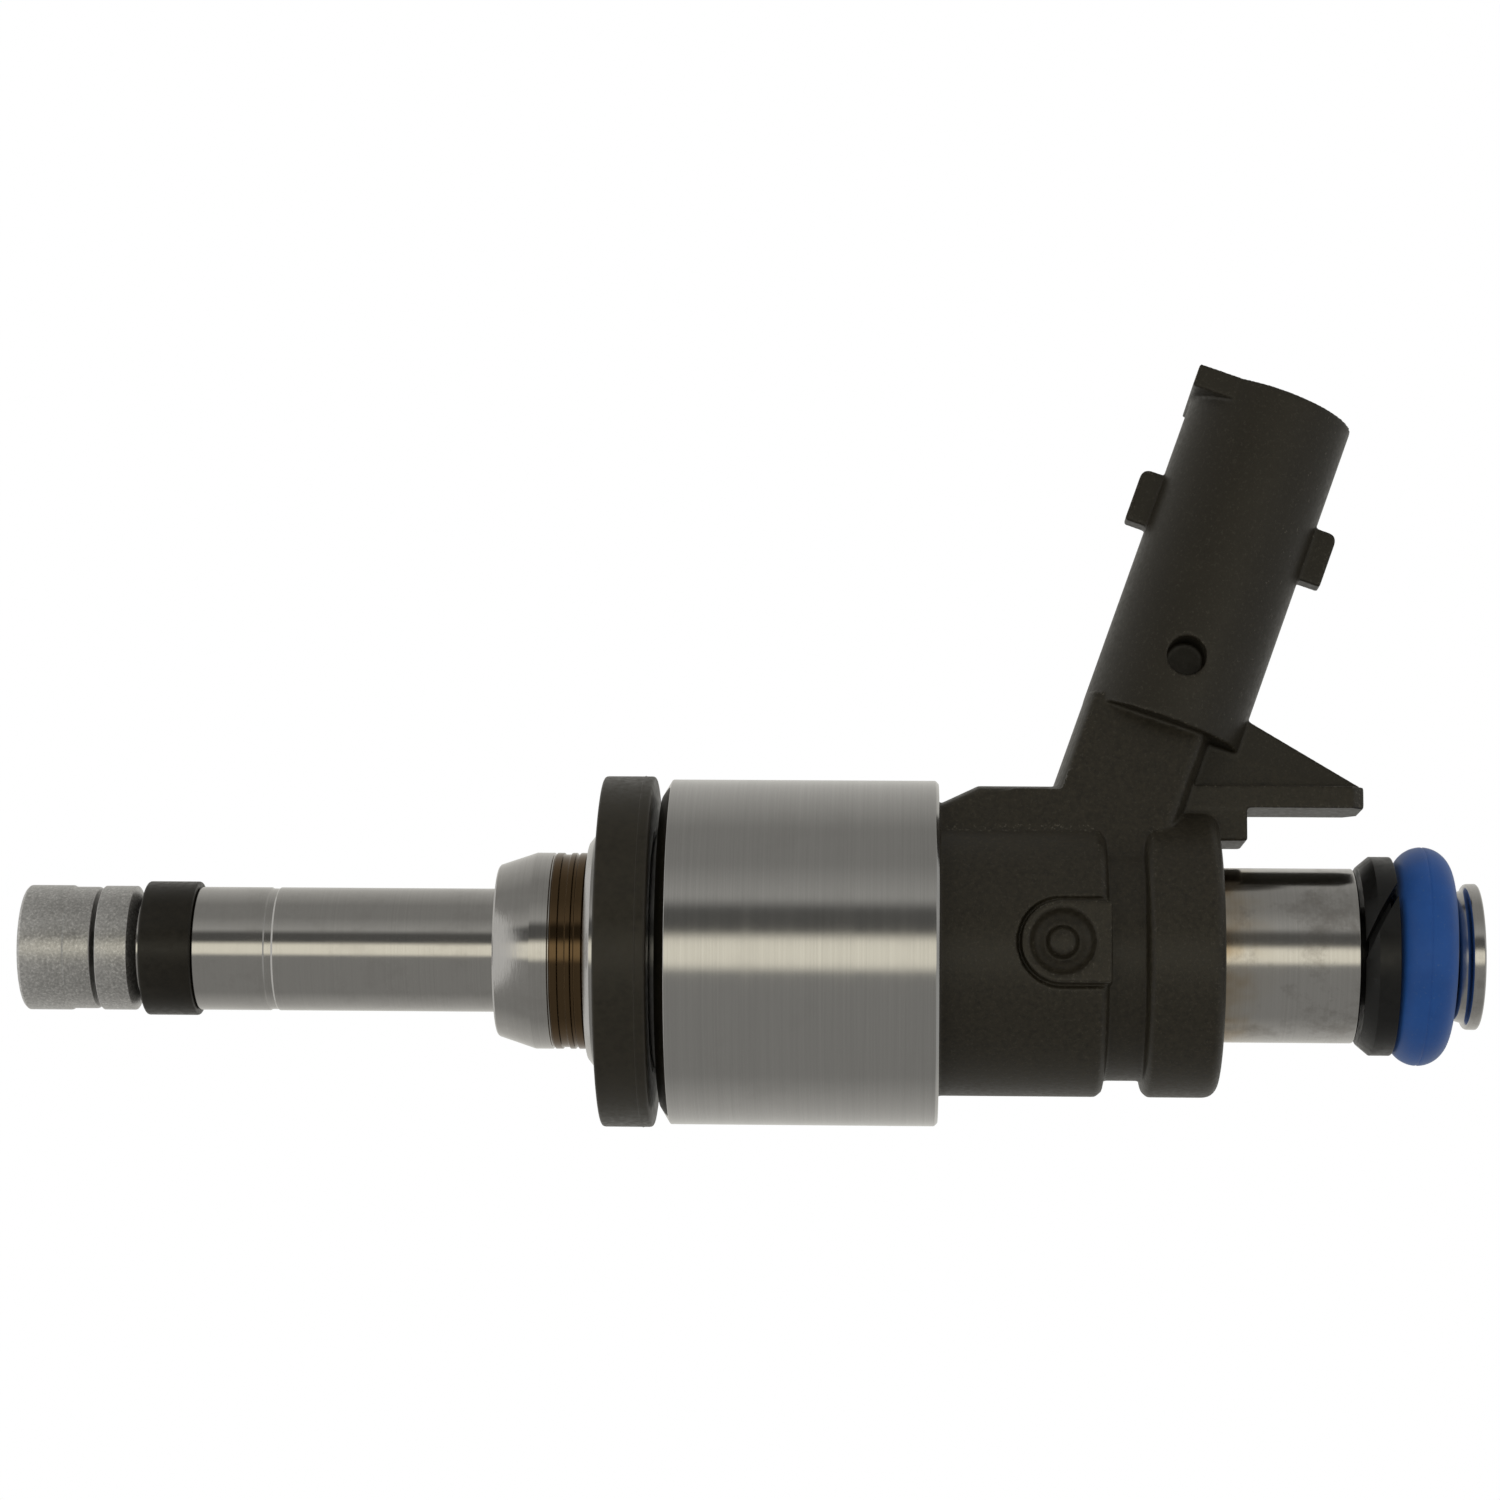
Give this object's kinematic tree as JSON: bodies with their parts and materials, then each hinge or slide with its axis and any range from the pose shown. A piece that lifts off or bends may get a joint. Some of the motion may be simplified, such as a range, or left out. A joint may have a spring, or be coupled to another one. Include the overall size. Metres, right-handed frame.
{
  "type": "fuel injector",
  "caption": "Solenoid direct-injection fuel injector with a slim sealed nozzle, a round steel coil housing, a side electrical connector and an O-ring sealed fuel inlet.",
  "frame": {"origin": "on the injector's axis, 0.5 mm below the isolator ring's lower face, which rests on the cylinder head", "axes": "+Z along the axis from the nozzle tip up to the fuel inlet, +X towards the side where the connector leans out"},
  "size_m": [0.0456, 0.021, 0.0868],
  "materials": {
    "blasted_tip": "matte grey blasted coating",
    "turned_steel": "fine turned",
    "inlet_steel": "polished, heat tinted by the weld",
    "brushed_steel": "circumferential brushed",
    "soft_magnetic_steel": "machined",
    "spring_steel": "ground",
    "seal_ptfe": "matte",
    "isolator_plastic": "moulded, matte",
    "overmold_plastic": "fine spark-eroded grain",
    "backup_plastic": "satin",
    "o_ring_rubber": "satin, dusty",
    "terminal_tin": "tin plated",
    "bobbin_plastic": "matte",
    "copper_wire": "enamelled copper",
    "filter_plastic": "matte",
    "filter_gauze": "woven"
  },
  "bodies": {
    "injector_body": {"nozzle_seat": "blasted_tip", "nozzle_body": "turned_steel", "combustion_seal": "seal_ptfe", "valve_body": "turned_steel", "isolator_ring": "isolator_plastic", "solenoid_housing": "brushed_steel", "connector_overmold": "overmold_plastic", "inlet_tube": "inlet_steel", "backup_ring": "backup_plastic", "inlet_o_ring": "o_ring_rubber", "terminal_pin_a": "terminal_tin", "terminal_pin_b": "terminal_tin", "inlet_filter": "filter_plastic", "filter_mesh": "filter_gauze", "adjusting_sleeve": "spring_steel", "closing_spring": "spring_steel", "pole_core": "soft_magnetic_steel", "coil_bobbin": "bobbin_plastic", "coil_winding": "copper_wire", "non_magnetic_ring": "turned_steel", "yoke_washer": "soft_magnetic_steel", "needle_guide": "turned_steel"},
    "needle": {"valve_needle": "spring_steel", "needle_ball": "spring_steel", "needle_stop_ring": "turned_steel", "lower_stop_sleeve": "turned_steel", "armature_spring": "spring_steel"},
    "armature": {"armature": "soft_magnetic_steel"}
  },
  "joints": [
    {"name": "needle_lift", "type": "slide", "parent": "injector_body", "child": "needle", "axis": [0, 0, 1], "range_m": [0, 0.00008], "stiffness_N_per_m": 4700, "deforming": ["closing_spring"]},
    {"name": "armature_free_travel", "type": "slide", "parent": "needle", "child": "armature", "axis": [0, 0, 1], "range_m": [0, 0.00005], "stiffness_N_per_m": 990, "deforming": ["armature_spring"]}
  ]
}
